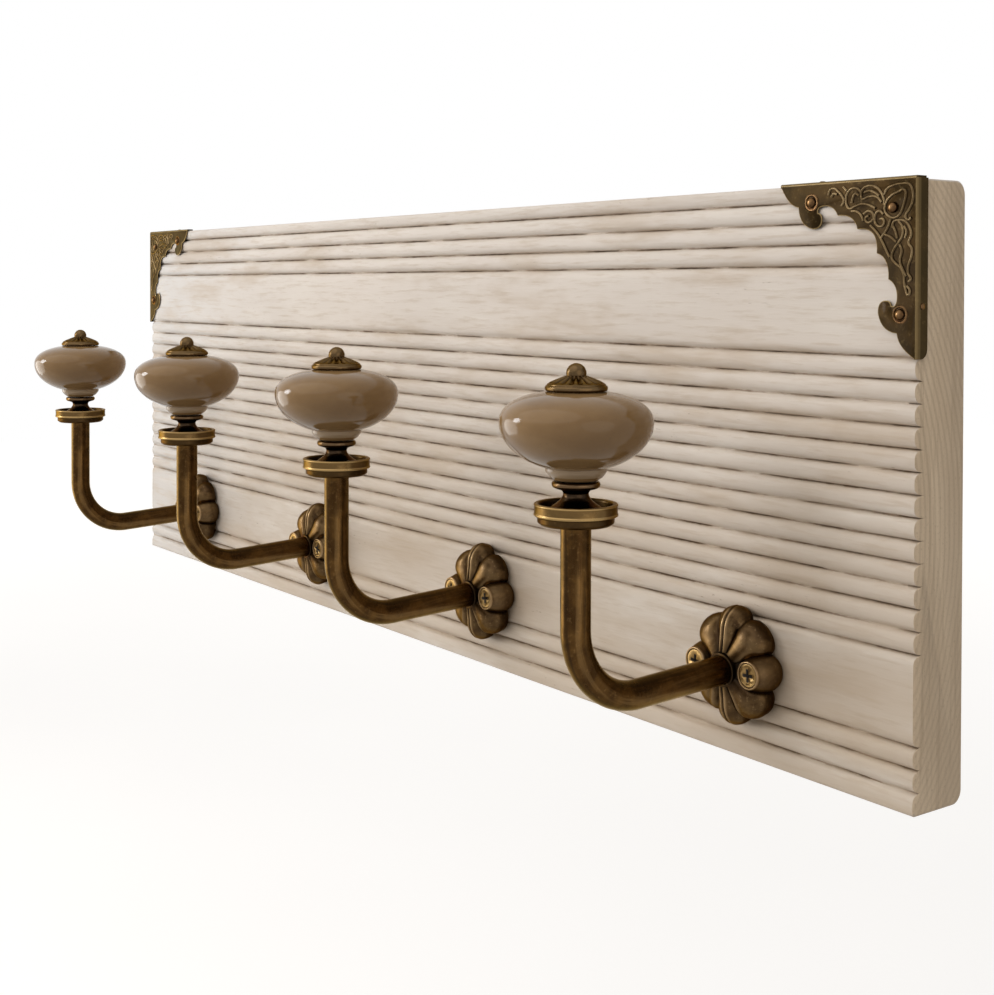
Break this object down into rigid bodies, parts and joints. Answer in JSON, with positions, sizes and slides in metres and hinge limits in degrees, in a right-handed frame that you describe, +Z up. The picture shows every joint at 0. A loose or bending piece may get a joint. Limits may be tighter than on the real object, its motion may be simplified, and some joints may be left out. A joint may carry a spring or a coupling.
{
  "type": "wall coat rack",
  "caption": "Wall coat rack: a whitewashed reeded board with scrolled brass corner brackets and upturned brass hooks, each with a flower rosette, a cup and a glazed ceramic knob.",
  "frame": {"origin": "centre of the board's back face, on the wall plane", "axes": "+X along the board, to the right for someone facing the rack; +Y into the wall; +Z up. The hooks point along -Y."},
  "size_m": [0.6038, 0.1259, 0.2019],
  "materials": {
    "painted_wood": "whitewash rubbed back to the grain, matt",
    "antique_brass": "darkened brass with rubbed high spots",
    "screw_brass": "bright brass, lightly tarnished",
    "dark_bronze": "blackened bronze, half gloss",
    "glazed_ceramic": "high gloss glaze",
    "steel": "plain rod, hidden in the knob"
  },
  "bodies": {
    "root": {"back_board": "painted_wood", "corner_bracket_left": "antique_brass", "bracket_nail_left_top": "antique_brass", "bracket_nail_left_corner": "antique_brass", "bracket_nail_left_side": "antique_brass", "flange_pin_left_end": "antique_brass", "flange_pin_left_top": "antique_brass", "corner_bracket_right": "antique_brass", "bracket_nail_right_top": "antique_brass", "bracket_nail_right_corner": "antique_brass", "bracket_nail_right_side": "antique_brass", "flange_pin_right_end": "antique_brass", "flange_pin_right_top": "antique_brass", "hook_1_rosette": "antique_brass", "hook_1_arm": "antique_brass", "hook_1_screw_left": "screw_brass", "hook_1_screw_right": "screw_brass", "hook_1_cup": "antique_brass", "hook_1_spool": "dark_bronze", "hook_1_knob": "glazed_ceramic", "hook_1_cap": "antique_brass", "hook_1_rod": "steel", "hook_2_rosette": "antique_brass", "hook_2_arm": "antique_brass", "hook_2_screw_left": "screw_brass", "hook_2_screw_right": "screw_brass", "hook_2_cup": "antique_brass", "hook_2_spool": "dark_bronze", "hook_2_knob": "glazed_ceramic", "hook_2_cap": "antique_brass", "hook_2_rod": "steel", "hook_3_rosette": "antique_brass", "hook_3_arm": "antique_brass", "hook_3_screw_left": "screw_brass", "hook_3_screw_right": "screw_brass", "hook_3_cup": "antique_brass", "hook_3_spool": "dark_bronze", "hook_3_knob": "glazed_ceramic", "hook_3_cap": "antique_brass", "hook_3_rod": "steel", "hook_4_rosette": "antique_brass", "hook_4_arm": "antique_brass", "hook_4_screw_left": "screw_brass", "hook_4_screw_right": "screw_brass", "hook_4_cup": "antique_brass", "hook_4_spool": "dark_bronze", "hook_4_knob": "glazed_ceramic", "hook_4_cap": "antique_brass", "hook_4_rod": "steel"}
  },
  "joints": []
}
